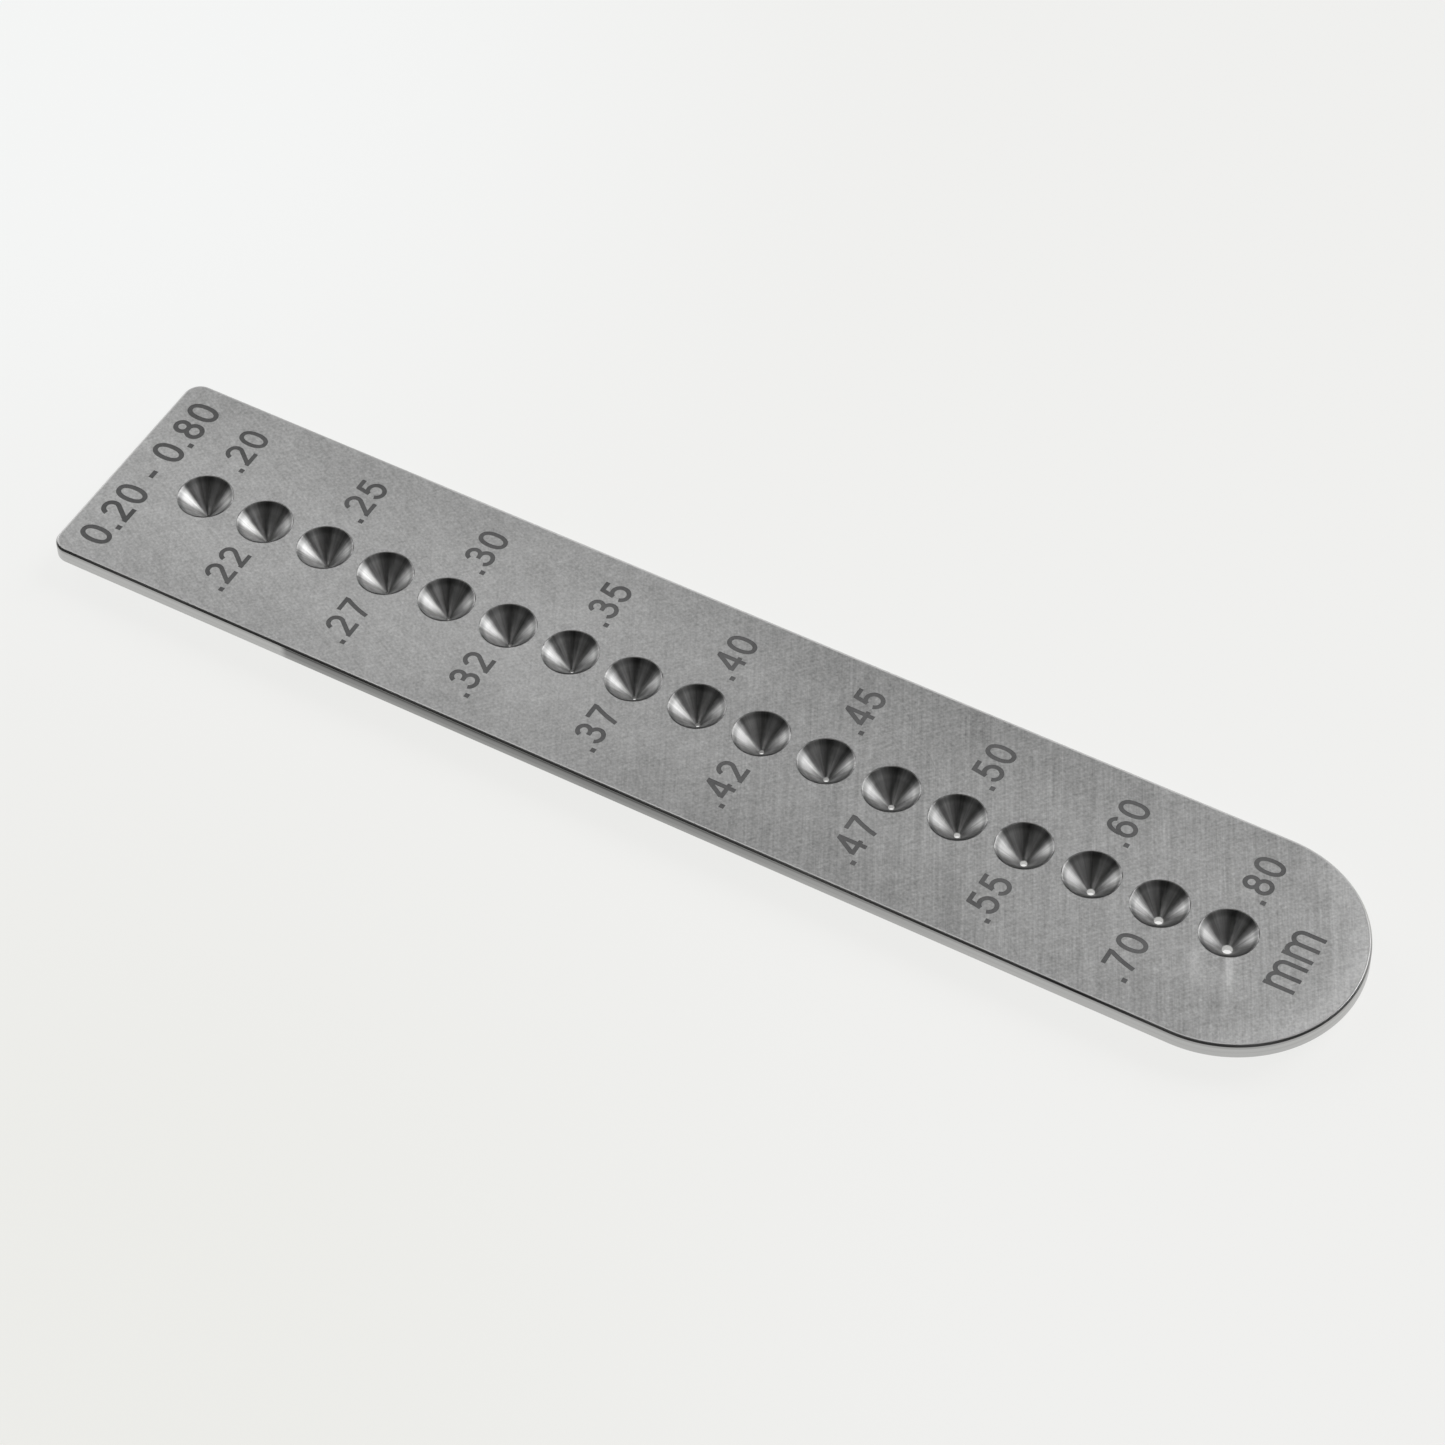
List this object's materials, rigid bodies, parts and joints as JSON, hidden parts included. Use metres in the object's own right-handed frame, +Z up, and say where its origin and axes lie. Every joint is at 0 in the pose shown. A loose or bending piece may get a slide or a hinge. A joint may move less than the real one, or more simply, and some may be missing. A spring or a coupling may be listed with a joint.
{
  "type": "taper gauge plate",
  "caption": "Flat steel gauge plate with a row of conical sockets that narrow to graded small bores; one end is square with rounded corners, the other is half-round.",
  "frame": {"origin": "centre of the plate's length and width, on its underside", "axes": "+X along the plate to its round end, +Y across it, +Z up out of the face with the socket mouths"},
  "size_m": [0.106, 0.02, 0.0025],
  "materials": {
    "steel": "fine brushed top face, turned socket walls, cut and broken edges"
  },
  "bodies": {
    "root": {"taper_plate": "steel"}
  },
  "joints": []
}
